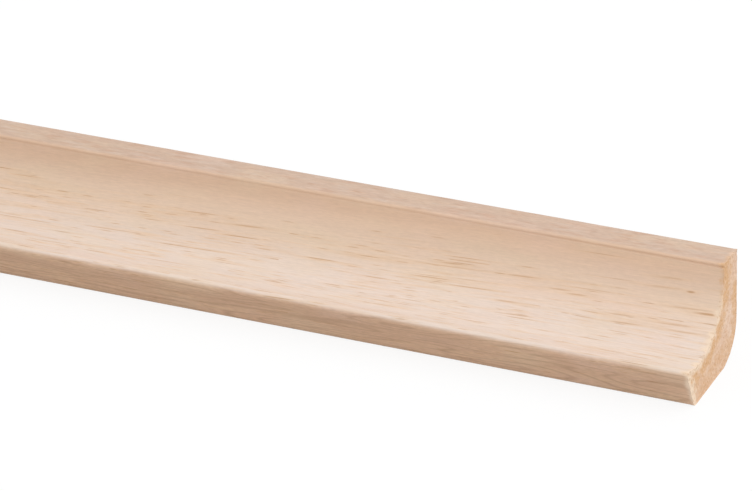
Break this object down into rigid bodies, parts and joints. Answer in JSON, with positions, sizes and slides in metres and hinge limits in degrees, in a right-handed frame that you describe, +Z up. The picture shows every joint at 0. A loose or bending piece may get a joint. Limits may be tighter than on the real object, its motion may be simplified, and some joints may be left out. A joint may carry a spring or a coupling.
{
  "type": "cornice moulding",
  "caption": "Length of bare wooden cornice moulding: a concave cove between a flat top lip and an undercut rounded nose, flat wall and ceiling faces, rounded heel, square-sawn ends.",
  "frame": {"origin": "on the flat underside, at mid length and mid depth", "axes": "+X along the length, +Y out of the wall face, +Z up from the underside to the top lip, as it lies unheld"},
  "size_m": [0.9, 0.033, 0.028],
  "materials": {
    "bare_wood": "planed and unfinished, matte; the ends are rough from the saw"
  },
  "bodies": {
    "root": {"cornice_moulding": "bare_wood"}
  },
  "joints": []
}
